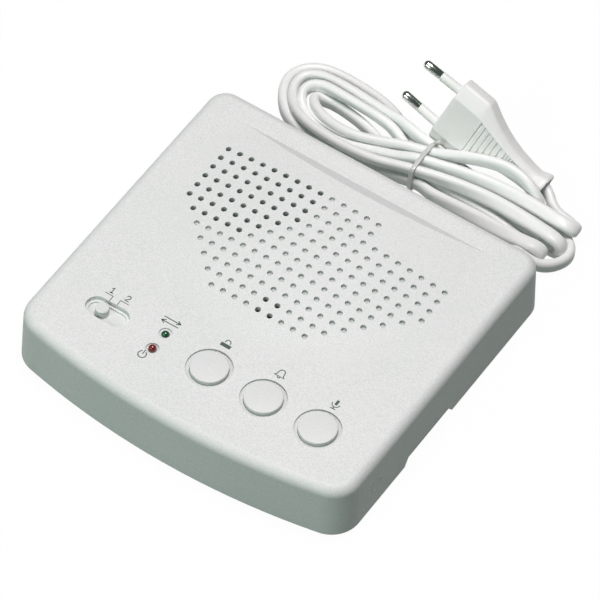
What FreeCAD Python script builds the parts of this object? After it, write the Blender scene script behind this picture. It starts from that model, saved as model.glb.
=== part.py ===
import FreeCAD, Part
import math
import os

V = FreeCAD.Vector
os.makedirs("parts", exist_ok=True)

# Wireless intercom that talks over the mains wiring: a low desk case with a gently domed lid, three round
# push buttons, a channel slide switch, two signal lamps, and a mains lead folded in a hank behind it.
# Frame: millimetres, origin under the middle of the case on the desk, +X to the right along the row of
# buttons, +Y to the rear where the lead leaves, +Z up.

# Driving sizes of the case
case_half_width = 78.4
case_half_depth = 76.7
desk_gap = 1.5
skirt_bottom = 2.2
rim_height = 29.0
wall_draft = math.tan(math.radians(2.2))
wall_thickness = 2.5
lid_thickness = 2.5
front_arc_radius = 331.0
front_corner_radius = 13.0
rear_corner_radius = 9.4
rim_round = 4.5
fit_gap = 0.3
running_gap = 0.1
seat_gap = 0.05

# Dome of the lid: a shallow cap that flows into the flat rim, cut off at the rear by a sloping facet
dome_centre_y = 36.9
dome_rise = 4.7
dome_radius = 400.0
dome_foot_radius = 100.0
facet_foot_y = 64.0
facet_angle = math.radians(34.5)

# Dot field of the lid: one square lattice, through holes over the speaker and the microphone, blind dots
# elsewhere. Each pair is the first and last column of a row, counted from the rear row to the front one.
dot_pitch = 5.5
dot_radius = 1.2
dimple_depth = 1.25
dot_rows = [(0, 13), (0, 13), (0, 20), (0, 20), (0, 20), (0, 20), (1, 19), (2, 18), (3, 17), (4, 16), (5, 15),
            (6, 14)]
middle_column = 10
lattice_rear_y = 48.6
speaker_column = 3.1
speaker_row = 1.5
speaker_field_radius = 5.18 * dot_pitch
microphone_columns = (10, 11)
microphone_rows = (10, 11)

# Controls on the flat front strip
button_pitch = 25.3
button_row_y = -45.4
button_recess_radius = 9.5
button_recess_depth = 0.9
button_cap_radius = 7.8
button_cap_stand = 1.25
button_cap_dome = 0.4
button_travel = 1.0
lamp_x = -23.5
in_use_lamp_y = -41.3
power_lamp_y = -50.2
lamp_radius = 1.65
lamp_dish_radius = 2.7
lamp_dish_depth = 0.6
in_use_lamp_stand = 0.9
power_lamp_stand = 1.7
switch_centre_x = -48.1
switch_centre_y = -45.6
switch_recess_length = 19.4
switch_recess_width = 9.4
switch_recess_depth = 1.9
switch_travel = 4.0
knob_radius = 2.8
knob_stand = 1.0
knob_rest_x = -50.5
notch_front_y = -25.0
notch_rear_y = 10.0
notch_top = 7.3
notch_slope = 0.75
notch_depth = 1.7

# Inside
board_bottom = 6.5
board_thickness = 1.6
base_thickness = 2.5
base_bottom = 1.5
speaker_radius = 32.0
speaker_flange_top = 25.0
speaker_height = 17.5

# Mains lead: a flat two-core lead
cord_width = 6.2
cord_thickness = 3.9
cord_exit_x = 58.0
cord_exit_z = 10.5
cord_nose_end_y = 79.5
relief_tail_y = 57.5
tie_thickness = 1.2
tie_width = 3.0
tie_x = 4.0

# Flat two-pin mains plug, standing on its narrow edge behind the hank; the angles turn its pins to the left
# and a little up, and its wide face to the front
plug_face = V(1.4, 124.7, 21.0)
plug_heading = 176.3
plug_pitch = -15.5
plug_roll = -64.9
plug_half_width = 17.65
plug_half_thickness = 6.85
plug_length = 54.0
pin_radius = 2.0
pin_length = 19.0
pin_sleeve_length = 10.0
pin_base_spacing = 18.6
pin_tip_spacing = 17.5

rim_top = rim_height
ceiling = rim_height - lid_thickness
board_top = board_bottom + board_thickness
base_top = base_bottom + base_thickness
speaker_x = (speaker_column - middle_column) * dot_pitch
speaker_y = lattice_rear_y - speaker_row * dot_pitch
microphone_x = (sum(microphone_columns) / 2.0 - middle_column) * dot_pitch
microphone_y = lattice_rear_y - sum(microphone_rows) / 2.0 * dot_pitch


def save(shape, name):
    if shape.ShapeType == "Compound" and len(shape.Solids) == 1:
        shape = shape.Solids[0]
    shape.exportStep("parts/" + name + ".step")
    box = shape.BoundBox
    print("%-26s solids %2d valid %s volume %9.1f  x %.1f %.1f y %.1f %.1f z %.1f %.1f" % (
        name, len(shape.Solids), shape.isValid(), shape.Volume, box.XMin, box.XMax, box.YMin, box.YMax,
        box.ZMin, box.ZMax))


def rod(radius, x, y, bottom, top):
    return Part.makeCylinder(radius, top - bottom, V(x, y, bottom))


def tube(outer, inner, x, y, bottom, top):
    return rod(outer, x, y, bottom, top).cut(rod(inner, x, y, bottom - 1.0, top + 1.0))


def block(x0, x1, y0, y1, z0, z1):
    return Part.makeBox(x1 - x0, y1 - y0, z1 - z0, V(x0, y0, z0))


def fuse_all(shapes):
    first = shapes[0]
    return first.multiFuse(shapes[1:]).removeSplitter() if len(shapes) > 1 else first


def stadium(length, width, x, y, bottom, top):
    # slot shape along X with round ends
    half = (length - width) / 2.0
    middle = block(x - half, x + half, y - width / 2.0, y + width / 2.0, bottom, top)
    return fuse_all([middle, rod(width / 2.0, x - half, y, bottom, top), rod(width / 2.0, x + half, y, bottom, top)])


def case_wire(inset, z):
    # plan outline of the case: straight sides and rear, a wide arc along the front, round corners
    half_width = case_half_width - inset
    rear = case_half_depth - inset
    front_radius = front_arc_radius - inset
    arc_y = -case_half_depth + front_arc_radius
    rc = rear_corner_radius - min(inset, 8.0)
    fc = front_corner_radius - min(inset, 8.0)
    corner_x = half_width - fc
    corner_y = arc_y - math.sqrt((front_radius - fc) ** 2 - corner_x ** 2)
    reach = math.hypot(corner_x, corner_y - arc_y)
    touch = V(corner_x / reach * front_radius, arc_y + (corner_y - arc_y) / reach * front_radius, z)
    bend = math.atan2(corner_y - arc_y, corner_x) / 2.0
    mid = V(corner_x + fc * math.cos(bend), corner_y + fc * math.sin(bend), z)
    k = math.sqrt(0.5)
    right_front = V(half_width, corner_y, z)
    right_rear = V(half_width, rear - rc, z)
    rear_right = V(half_width - rc, rear, z)
    rear_mid = V(half_width - rc + rc * k, rear - rc + rc * k, z)

    def mirror(p):
        return V(-p.x, p.y, p.z)

    edges = [
        Part.LineSegment(right_front, right_rear).toShape(),
        Part.Arc(right_rear, rear_mid, rear_right).toShape(),
        Part.LineSegment(rear_right, mirror(rear_right)).toShape(),
        Part.Arc(mirror(rear_right), mirror(rear_mid), mirror(right_rear)).toShape(),
        Part.LineSegment(mirror(right_rear), mirror(right_front)).toShape(),
        Part.Arc(mirror(right_front), mirror(mid), mirror(touch)).toShape(),
        Part.Arc(mirror(touch), V(0, arc_y - front_radius, z), touch).toShape(),
        Part.Arc(touch, mid, right_front).toShape(),
    ]
    return Part.Wire(edges)


def case_block(inset, bottom, top, rounding=0.0):
    # drafted block of the case outline, with its upper edge rounded over
    lower = case_wire(inset + (bottom - desk_gap) * wall_draft, bottom)
    upper = case_wire(inset + (top - desk_gap) * wall_draft, top)
    solid = Part.makeLoft([lower, upper], True, True)
    if rounding:
        rim = [e for e in solid.Edges if min(v.Point.z for v in e.Vertexes) > top - 0.01]
        solid = solid.makeFillet(rounding, rim)
    return solid


def dome_block(drop):
    # turned cap with a concave foot, lowered by drop, and cut by the facet at the rear
    top = rim_top + dome_rise - drop
    flat = rim_top - drop
    total = dome_radius + dome_foot_radius
    lift = dome_rise
    turn = math.acos((total - lift) / total)
    foot = total * math.sin(turn)
    join = V(dome_radius * math.sin(turn), 0, top - dome_radius * (1 - math.cos(turn)))
    cap_mid = V(dome_radius * math.sin(turn / 2.0), 0, top - dome_radius * (1 - math.cos(turn / 2.0)))
    half = turn / 2.0
    foot_mid = V(foot - dome_foot_radius * math.sin(half), 0, flat + dome_foot_radius * (1 - math.cos(half)))
    edges = [
        Part.Arc(V(0, 0, top), cap_mid, join).toShape(),
        Part.Arc(join, foot_mid, V(foot, 0, flat)).toShape(),
        Part.LineSegment(V(foot, 0, flat), V(foot, 0, flat - 1.0)).toShape(),
        Part.LineSegment(V(foot, 0, flat - 1.0), V(0, 0, flat - 1.0)).toShape(),
        Part.LineSegment(V(0, 0, flat - 1.0), V(0, 0, top)).toShape(),
    ]
    face = Part.Face(Part.Wire(edges))
    cap = face.revolve(V(0, 0, 0), V(0, 0, 1), 360)
    cap.translate(V(0, dome_centre_y, 0))
    run = 30.0
    rise = run * math.tan(facet_angle)
    behind = 130.0
    corner = [V(-90, facet_foot_y, flat), V(-90, facet_foot_y - run, flat + rise), V(-90, behind, flat + rise),
              V(-90, behind, flat - 2.0), V(-90, facet_foot_y, flat - 2.0)]
    cutter = Part.Face(Part.makePolygon(corner + [corner[0]])).extrude(V(180, 0, 0))
    return cap.cut(cutter)


def dome_height(x, y):
    # height of the lid's outer face over a point of its dot field
    reach = math.hypot(x, y - dome_centre_y)
    total = dome_radius + dome_foot_radius
    turn = math.acos((total - dome_rise) / total)
    if reach < dome_radius * math.sin(turn):
        return rim_top + dome_rise - (dome_radius - math.sqrt(dome_radius ** 2 - reach ** 2))
    out = total * math.sin(turn) - reach
    if out > 0:
        return rim_top + dome_foot_radius - math.sqrt(dome_foot_radius ** 2 - out ** 2)
    return rim_top


def notch_wedge(x0, x1, bottom, gap):
    # the notch in the right skirt, seen from the side: sloping ends that close in towards its top
    points = []
    for z, order in ((bottom, 1), (notch_top - gap, -1)):
        close = (z - desk_gap) * notch_slope + gap
        points += [V(x0, notch_front_y + close, z), V(x0, notch_rear_y - close, z)][::order]
    return Part.Face(Part.makePolygon(points + [points[0]])).extrude(V(x1 - x0, 0, 0))


# Lid shell
lid_outer = case_block(0.0, skirt_bottom, rim_top, rim_round).fuse(dome_block(0.0)).removeSplitter()
lid_inner = case_block(wall_thickness, desk_gap, ceiling, 2.0)
lid_skirt_open = Part.Face(case_wire(wall_thickness, desk_gap)).extrude(V(0, 0, -1.0))
lid_inner = lid_inner.fuse(lid_skirt_open).fuse(dome_block(lid_thickness)).removeSplitter()
lid = lid_outer.cut(lid_inner)

# Screw posts, speaker ring and clips, microphone ring, button sleeves and the ribs that guide the slider
post_places = [(-66.0, -54.0), (66.0, -54.0), (-67.0, 65.0), (67.0, 65.0)]
post_radius = 3.6
post_bottom = 7.0
screw_radius = 1.5
screw_hold = 9.0
clip_turns = [35.0, 205.0, 300.0]
clip_post_radius = 2.8
flange_thickness = 1.2
clip_level = speaker_flange_top - flange_thickness
clip_reach = speaker_radius + clip_post_radius + 0.8
clip_places = []
for turn in clip_turns:
    angle = math.radians(turn)
    clip_places.append((speaker_x + clip_reach * math.cos(angle), speaker_y + clip_reach * math.sin(angle)))

inside_parts = [rod(post_radius, x, y, post_bottom, rim_top) for x, y in post_places]
inside_parts += [rod(clip_post_radius, x, y, clip_level, 40.0) for x, y in clip_places]
seat_radius = speaker_radius - 0.6
inside_parts.append(tube(seat_radius, seat_radius - 2.0, speaker_x, speaker_y, speaker_flange_top, 40.0))
capsule_radius = 4.85
boot_radius = 6.2
capsule_top = dome_height(microphone_x, microphone_y) - lid_thickness - 0.9
capsule_bottom = capsule_top - 6.5
mic_ring_inner = boot_radius + running_gap
inside_parts.append(tube(mic_ring_inner + 1.2, mic_ring_inner, microphone_x, microphone_y, capsule_bottom + 1.0, 40.0))
button_places = [(0.0 + i * button_pitch, button_row_y) for i in range(3)]
button_flange_radius = 9.2
sleeve_inner = button_flange_radius + fit_gap
for x, y in button_places:
    inside_parts.append(tube(sleeve_inner + 1.2, sleeve_inner, x, y, ceiling - 5.0, ceiling + 0.5))
slider_length = 25.0
slider_width = 8.4
slider_thickness = 1.5
slider_top = ceiling - seat_gap
switch_mid_x = knob_rest_x + switch_travel / 2.0
guide_y = slider_width / 2.0 + running_gap
guide_half = slider_length / 2.0 + switch_travel
for side in (-1, 1):
    y0 = switch_centre_y + side * guide_y
    y1 = y0 + side * 1.2
    inside_parts.append(block(switch_mid_x - guide_half, switch_mid_x + guide_half, min(y0, y1), max(y0, y1),
                              slider_top - slider_thickness - 0.6, ceiling + 0.5))
inside = Part.makeCompound(inside_parts).common(lid_outer)
lid = lid.fuse(inside.Solids).removeSplitter()

# Everything that is cut out of the lid: dots, button recesses, lamp holes, switch recess, screw bores, the
# notch in the right skirt and the hole for the lead
cuts = []
for row in range(len(dot_rows)):
    first, last = dot_rows[row]
    y = lattice_rear_y - row * dot_pitch
    for column in range(first, last + 1):
        x = (column - middle_column) * dot_pitch
        top = dome_height(x, y)
        over_speaker = math.hypot(x - speaker_x, y - speaker_y) <= speaker_field_radius + 0.01
        over_microphone = column in microphone_columns and row in microphone_rows
        low = top - lid_thickness - 2.0 if over_speaker or over_microphone else top - dimple_depth
        cuts.append(rod(dot_radius, x, y, low, top + 1.0))
for x, y in button_places:
    cuts.append(rod(button_recess_radius, x, y, rim_top - button_recess_depth, rim_top + 1.0))
    cuts.append(rod(button_cap_radius + running_gap, x, y, ceiling - 1.0, rim_top))
for y in (in_use_lamp_y, power_lamp_y):
    cuts.append(rod(lamp_dish_radius, lamp_x, y, rim_top - lamp_dish_depth, rim_top + 1.0))
    cuts.append(rod(lamp_radius + running_gap, lamp_x, y, ceiling - 1.0, rim_top))
cuts.append(stadium(switch_recess_length, switch_recess_width, switch_centre_x, switch_centre_y,
                    rim_top - switch_recess_depth, rim_top + 1.0))
slot_width = 7.0
slot_length = 17.0
cuts.append(stadium(slot_length, slot_width, switch_centre_x, switch_centre_y, ceiling - 1.0, rim_top))
for x, y in post_places:
    cuts.append(rod(screw_radius + seat_gap, x, y, post_bottom - 1.0, post_bottom + screw_hold + 1.0))
clip_screw_radius = 1.2
clip_screw_hold = 5.5 - seat_gap
clip_bores = [rod(clip_screw_radius + seat_gap, x, y, clip_level - 1.0, ceiling - 0.5) for x, y in clip_places]
cuts += clip_bores
cuts.append(notch_wedge(case_half_width - 8.0, case_half_width + 5.0, 0.0, 0.0))
relief_radius = 4.4
relief_hole = Part.makeCylinder(relief_radius + seat_gap, 12.0, V(cord_exit_x, case_half_depth - 8.0, cord_exit_z),
                                V(0, 1, 0))
cuts.append(relief_hole)
lid = lid.cut(cuts)
save(lid, "top_cover")

# Base plate: drops into the skirt, with bosses up to the lid's posts, board posts, foot recesses and vents
base = case_block(wall_thickness + fit_gap, base_bottom, base_top)
board_posts = [(-55.0, -5.0), (-55.0, -57.0), (56.0, -57.0), (64.0, 50.0)]
board_post_radius = 3.2
board_screw_radius = 1.3
head_recess_top = base_top + 1.0
head_radius = 2.8
bosses = [rod(post_radius + 1.0, x, y, base_top - 0.5, post_bottom) for x, y in post_places]
bosses += [rod(board_post_radius, x, y, base_top - 0.5, board_bottom) for x, y in board_posts]
base = fuse_all([base] + bosses)
foot_places = [(-50.0, -59.0), (50.0, -59.0), (-50.0, 64.0), (50.0, 64.0)]
foot_radius = 6.0
foot_recess = 1.0
base_cuts = []
for x, y in post_places:
    base_cuts.append(rod(head_radius + 0.3, x, y, base_bottom - 1.0, head_recess_top))
    base_cuts.append(rod(screw_radius + 0.2, x, y, base_bottom, post_bottom + 1.0))
for x, y in board_posts:
    base_cuts.append(rod(board_screw_radius + seat_gap, x, y, base_bottom + 0.8, board_bottom + 1.0))
for x, y in foot_places:
    base_cuts.append(rod(foot_radius + seat_gap, x, y, base_bottom - 1.0, base_bottom + foot_recess))
vent_length = 24.0
vent_width = 2.4
vent_pitch = 5.0
vent_count = 6
for i in range(vent_count):
    y = 20.0 + i * vent_pitch
    base_cuts.append(stadium(vent_length, vent_width, 24.0, y, base_bottom - 1.0, base_top + 1.0))
base = base.cut(base_cuts)
tab_outer = case_half_width - notch_depth
tab = notch_wedge(case_half_width - 6.0, tab_outer, base_bottom, fit_gap)
base = base.fuse(tab).removeSplitter()
save(base, "base_plate")

feet = [rod(foot_radius, x, y, 0.0, base_bottom + foot_recess) for x, y in foot_places]
save(Part.makeCompound(feet), "rubber_feet")


def pan_screw(radius, head, head_height, x, y, seat, tip, up=True):
    # screw along Z, its head's bearing face at seat
    if up:
        shape = rod(head, x, y, seat - head_height, seat).fuse(rod(radius, x, y, seat - 0.2, tip))
        slot_low = seat - head_height - 0.5
        slot = block(x - 0.4, x + 0.4, y - head * 0.75, y + head * 0.75, slot_low, slot_low + 1.2)
        cross = block(x - head * 0.75, x + head * 0.75, y - 0.4, y + 0.4, slot_low, slot_low + 1.2)
    else:
        shape = rod(head, x, y, seat, seat + head_height).fuse(rod(radius, x, y, tip, seat + 0.2))
        slot_high = seat + head_height + 0.5
        slot = block(x - 0.4, x + 0.4, y - head * 0.75, y + head * 0.75, slot_high - 1.2, slot_high)
        cross = block(x - head * 0.75, x + head * 0.75, y - 0.4, y + 0.4, slot_high - 1.2, slot_high)
    return shape.removeSplitter().cut([slot, cross])


case_screws = [pan_screw(screw_radius, head_radius, 1.9, x, y, head_recess_top, post_bottom + screw_hold)
               for x, y in post_places]
save(Part.makeCompound(case_screws), "case_screws")
clip_screws = [pan_screw(clip_screw_radius, 4.6, 1.4, x, y, clip_level, ceiling - 0.8) for x, y in clip_places]
save(Part.makeCompound(clip_screws), "speaker_clamp_screws")
board_screws = [pan_screw(board_screw_radius, 2.6, 1.7, x, y, board_top, base_bottom + 1.0, False)
                for x, y in board_posts]
save(Part.makeCompound(board_screws), "board_screws")

# Push buttons: moulded caps with a retaining flange under the lid and a stem on to the switch
stem_bottom = 20.2
stem_radius = 2.0
flange_top = ceiling - seat_gap


def button_cap(x, y):
    rim = rim_top + button_cap_stand
    crown = rod(button_cap_radius, 0, 0, flange_top - 1.2, rim)
    bulge_radius = (button_cap_radius ** 2 + button_cap_dome ** 2) / (2.0 * button_cap_dome)
    ball = Part.makeSphere(bulge_radius, V(0, 0, rim + button_cap_dome - bulge_radius))
    above = rod(button_cap_radius, 0, 0, rim - 0.5, rim + 3.0).common(ball)
    crown = crown.fuse(above).removeSplitter()
    lip = [e for e in crown.Edges if abs(e.BoundBox.ZMin - rim) < 0.02 and abs(e.BoundBox.ZMax - rim) < 0.02]
    crown = crown.makeFillet(0.45, lip)
    crown = crown.fuse(rod(button_flange_radius, 0, 0, flange_top - 1.2, flange_top)).removeSplitter()
    crown = crown.cut(rod(button_cap_radius - 1.5, 0, 0, flange_top - 3.0, rim - 1.6))
    crown = crown.fuse(rod(stem_radius, 0, 0, stem_bottom, rim - 1.0)).removeSplitter()
    crown.translate(V(x, y, 0))
    return crown


plunger_radius = 1.6
switch_body_top = 16.1
plunger_bottom = 12.0


def push_switch(x, y):
    # square switch body on the board with a round bore and four short legs
    half = 4.0
    shape = block(x - half, x + half, y - half, y + half, board_top, switch_body_top)
    shape = shape.cut(rod(plunger_radius + running_gap, x, y, plunger_bottom - button_travel - 0.5,
                          switch_body_top + 1.0))
    return shape


button_names = ["lock", "call", "talk"]
for i in range(3):
    x, y = button_places[i]
    save(button_cap(x, y), button_names[i] + "_button")
    save(rod(plunger_radius, x, y, plunger_bottom, stem_bottom), button_names[i] + "_switch_plunger")
    save(push_switch(x, y), button_names[i] + "_switch_body")

# Channel slide switch: knob and shutter plate under the lid, driving the lever of a switch on the board
lever_top = 18.2
lever_half_x = 1.9
lever_half_y = 1.3
plate_bottom = slider_top - slider_thickness
plate = block(switch_mid_x - slider_length / 2.0 - switch_travel / 2.0,
              switch_mid_x + slider_length / 2.0 - switch_travel / 2.0,
              switch_centre_y - slider_width / 2.0, switch_centre_y + slider_width / 2.0, plate_bottom, slider_top)
knob = rod(knob_radius, knob_rest_x, switch_centre_y, slider_top - 0.5, rim_top + knob_stand)
knob_lip = [e for e in knob.Edges if e.BoundBox.ZMin > rim_top + knob_stand - 0.01]
knob = knob.makeFillet(0.4, knob_lip)
drive = block(knob_rest_x - 2.4, knob_rest_x + 2.4, switch_centre_y - 2.0, switch_centre_y + 2.0, lever_top,
              plate_bottom + 0.3)
save(fuse_all([plate, knob, drive]), "channel_slider")
lever_bottom = 11.0
save(block(knob_rest_x - lever_half_x, knob_rest_x + lever_half_x, switch_centre_y - lever_half_y,
           switch_centre_y + lever_half_y, lever_bottom, lever_top), "channel_switch_lever")
frame_top = 14.1
switch_frame = block(switch_mid_x - 8.0, switch_mid_x + 8.0, switch_centre_y - 3.5, switch_centre_y + 3.5,
                     board_top, frame_top)
lever_way = switch_travel / 2.0 + lever_half_x + 0.15
switch_frame = switch_frame.cut(block(switch_mid_x - lever_way, switch_mid_x + lever_way,
                                      switch_centre_y - lever_half_y - running_gap,
                                      switch_centre_y + lever_half_y + running_gap, lever_bottom - 0.5,
                                      frame_top + 1.0))
save(switch_frame, "channel_switch_body")


lamp_leg_offset = 1.0


def lamp(y, stand):
    # moulded lamp with a flange and two legs down to the board
    dome_base = rim_top + stand - lamp_radius
    flange = 23.0
    shape = rod(lamp_radius, lamp_x, y, flange, dome_base)
    shape = shape.fuse(Part.makeSphere(lamp_radius, V(lamp_x, y, dome_base)))
    shape = shape.fuse(rod(lamp_radius + 0.4, lamp_x, y, flange, flange + 1.0))
    for side in (-1.0, 1.0):
        x = lamp_x + side * lamp_leg_offset
        shape = shape.fuse(block(x - 0.25, x + 0.25, y - 0.25, y + 0.25, board_top, flange + 0.2))
    return shape.removeSplitter()


save(lamp(in_use_lamp_y, in_use_lamp_stand), "in_use_lamp")
save(lamp(power_lamp_y, power_lamp_stand), "power_lamp")

# Main board: one L-shaped board on four posts, in front of the loudspeaker and beside it
board = block(-60.0, 60.0, -63.0, 0.0, board_bottom, board_top)
board = board.fuse(block(4.0, 70.0, -46.0, 54.0, board_bottom, board_top)).removeSplitter()
board = board.cut([rod(board_screw_radius + 0.2, x, y, board_bottom - 1.0, board_top + 1.0) for x, y in board_posts])
save(board, "main_board")


def turned(profile, x, y):
    # profile of (radius, height) pairs turned about a vertical line
    points = [V(r, 0, z) for r, z in profile]
    solid = Part.Face(Part.makePolygon(points + [points[0]])).revolve(V(0, 0, 0), V(0, 0, 1), 360)
    solid.translate(V(x, y, 0))
    return solid


# Loudspeaker: pressed frame, paper cone with its dust cap, and a ring magnet with its plates
magnet_radius = 15.0
magnet_bottom = speaker_flange_top - speaker_height
magnet_top = magnet_bottom + 6.5
basket_wall = 0.8
rim_step = clip_level
frame_profile = [(9.5, magnet_top), (14.0, magnet_top), (29.3, rim_step), (speaker_radius, rim_step),
                 (speaker_radius, speaker_flange_top), (28.4, speaker_flange_top),
                 (13.4, magnet_top + basket_wall), (9.5, magnet_top + basket_wall)]
frame = turned(frame_profile, speaker_x, speaker_y)
window_width = 9.0
for i in range(4):
    window = block(15.5, 24.5, -window_width / 2.0, window_width / 2.0, magnet_top - 2.0, speaker_flange_top - 3.0)
    window.rotate(V(0, 0, 0), V(0, 0, 1), 45.0 + 90.0 * i)
    window.translate(V(speaker_x, speaker_y, 0))
    frame = frame.cut(window)
save(frame, "speaker_frame")
cone_profile = [(0.0, 18.2), (5.0, 16.9), (8.0, 15.9), (26.4, 24.0), (27.2, 25.0), (29.2, 25.0), (29.2, 25.2),
                (26.8, 25.3), (26.0, 24.7), (8.3, 16.7), (5.4, 17.6), (0.0, 18.9)]
save(turned(cone_profile, speaker_x, speaker_y), "speaker_cone")
save(rod(magnet_radius, speaker_x, speaker_y, magnet_bottom, magnet_top), "speaker_magnet")

# Microphone capsule in a soft boot that sits in the ring under the lid
capsule = rod(capsule_radius, microphone_x, microphone_y, capsule_bottom, capsule_top)
save(capsule, "microphone_capsule")
boot_bottom = capsule_bottom - 1.2
boot = rod(boot_radius, microphone_x, microphone_y, boot_bottom, capsule_top - 0.4)
boot = boot.cut(rod(capsule_radius + seat_gap, microphone_x, microphone_y, capsule_bottom, capsule_top + 1.0))
boot = boot.cut(rod(2.5, microphone_x, microphone_y, boot_bottom - 1.0, capsule_bottom + 1.0))
save(boot, "microphone_boot")


def chip(x, y, length, pin_count):
    # dual in-line circuit, its long side along X
    body = block(x - length / 2.0, x + length / 2.0, y - 3.2, y + 3.2, board_top + 0.5, board_top + 3.9)
    parts = [body]
    for i in range(pin_count):
        pin_x = x + (i - (pin_count - 1) / 2.0) * 2.54
        for side in (-1, 1):
            inner = y + side * 2.6
            outer = y + side * 3.8
            parts.append(block(pin_x - 0.6, pin_x + 0.6, min(inner, outer), max(inner, outer), board_top + 1.9,
                               board_top + 2.2))
            inner = y + side * 3.5
            parts.append(block(pin_x - 0.3, pin_x + 0.3, min(inner, outer), max(inner, outer), board_top,
                               board_top + 2.1))
    return fuse_all(parts).cut(rod(0.9, x - length / 2.0, y, board_top + 3.5, board_top + 5.0))


save(Part.makeCompound([chip(-36.0, -24.0, 20.0, 8), chip(-8.0, -26.0, 20.0, 8), chip(16.0, -24.0, 10.2, 4)]),
     "integrated_circuits")


def can_capacitor(x, y, radius, height):
    # upright capacitor can with a pressed groove near its foot
    groove = 0.3
    profile = [(0, 0), (radius, 0), (radius, 1.4), (radius - groove, 1.8), (radius, 2.2), (radius, height - 0.4),
               (radius - 0.4, height), (radius - 1.2, height), (radius - 1.2, height - 0.3), (0, height - 0.3)]
    return turned([(r, board_top + z) for r, z in profile], x, y)


can_places = [(-52.0, -30.0, 3.2, 11.0), (-22.0, -12.0, 4.0, 11.5), (-10.0, -10.0, 3.2, 11.0),
              (30.0, -28.0, 4.0, 11.5), (12.0, -8.0, 4.0, 11.5)]
save(Part.makeCompound([can_capacitor(*place) for place in can_places]), "electrolytic_capacitors")
save(can_capacitor(14.0, 20.0, 6.3, 16.0), "smoothing_capacitor")


def tuning_coil(x, y):
    # square screening can with a slotted core in the hole of its top
    half = 3.6
    can = block(x - half, x + half, y - half, y + half, board_top, board_top + 10.0)
    can = can.cut(rod(1.9, x, y, board_top + 9.0, board_top + 11.0))
    return can.fuse(rod(1.5, x, y, board_top + 8.8, board_top + 9.7)).cut(
        block(x - 1.0, x + 1.0, y - 0.25, y + 0.25, board_top + 9.3, board_top + 11.0))


save(Part.makeCompound([tuning_coil(-40.0, -10.0), tuning_coil(-50.0, -16.0), tuning_coil(44.0, -28.0)]),
     "tuning_coils")


def resistor(x, y, along_x):
    # small turned body on two bent leads
    body = Part.makeCylinder(1.15, 6.0, V(-3.0, 0, board_top + 1.3), V(1, 0, 0))
    wire = Part.makeCylinder(0.25, 9.6, V(-4.8, 0, board_top + 1.3), V(1, 0, 0))
    parts = [body, wire]
    for side in (-1, 1):
        parts.append(rod(0.4, side * 4.8, 0, board_top, board_top + 1.7))
    shape = fuse_all(parts)
    if not along_x:
        shape.rotate(V(0, 0, 0), V(0, 0, 1), 90)
    shape.translate(V(x, y, 0))
    return shape


resistor_places = [(-35.0, -34.0, True), (-20.0, -34.0, True), (-5.0, -34.0, True), (12.0, -34.0, True),
                   (-36.0, -17.0, True), (-8.0, -17.5, True), (22.0, -12.0, False), (36.0, -36.0, True),
                   (54.0, -30.0, False), (-40.0, -55.0, True), (0.0, -57.0, True), (24.0, -57.0, True)]
save(Part.makeCompound([resistor(*place) for place in resistor_places]), "resistors")

film_places = [(-22.0, -24.0), (6.0, -20.0), (56.0, -18.0), (-46.0, -35.0), (8.0, 34.0)]
films = [block(x - 2.2, x + 2.2, y - 1.3, y + 1.3, board_top, board_top + 6.0) for x, y in film_places]
save(Part.makeCompound(films), "film_capacitors")

diode_places = [(12.0, 4.0 + 2.6 * i) for i in range(4)]
diodes = []
for x, y in diode_places:
    body = Part.makeCylinder(1.0, 3.6, V(x - 1.8, y, board_top + 1.1), V(1, 0, 0))
    wire = Part.makeCylinder(0.25, 8.0, V(x - 4.0, y, board_top + 1.1), V(1, 0, 0))
    diodes.append(fuse_all([body, wire, rod(0.4, x - 4.0, y, board_top, board_top + 1.5),
                            rod(0.4, x + 4.0, y, board_top, board_top + 1.5)]))
save(Part.makeCompound(diodes), "rectifier_diodes")

# Mains side of the board: transformer, fuse, coupling coil and the capacitor across the line
transformer_x = 46.0
transformer_y = 6.0
core_half_x = 18.0
core_half_y = 15.0
core_bottom = 11.5
core_top = 20.5
window_inner = 6.0
window_outer = 12.0
window_half_y = 9.0
core = block(-core_half_x, core_half_x, -core_half_y, core_half_y, core_bottom, core_top)
for side in (-1, 1):
    x0 = side * window_inner
    x1 = side * window_outer
    core = core.cut(block(min(x0, x1), max(x0, x1), -window_half_y, window_half_y, core_bottom - 1.0, core_top + 1.0))
core.translate(V(transformer_x, transformer_y, 0))
save(core, "transformer_core")
winding_half_y = window_half_y - seat_gap
winding = block(-window_outer + fit_gap, window_outer - fit_gap, -winding_half_y, winding_half_y, board_top,
                core_top + 3.6)
flange_y = winding_half_y - 1.0
for z0, z1 in ((board_top - 1.0, core_bottom - 0.6), (core_top + 0.6, core_top + 5.0)):
    for x0, x1 in ((-window_outer, -window_outer + 1.2), (window_outer - 1.2, window_outer)):
        winding = winding.cut(block(x0, x1, -flange_y, flange_y, z0, z1))
leg_half = window_inner + seat_gap
winding = winding.cut(block(-leg_half, leg_half, -core_half_y, core_half_y, core_bottom - seat_gap,
                            core_top + seat_gap))
winding.translate(V(transformer_x, transformer_y, 0))
save(winding, "transformer_winding")

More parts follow.
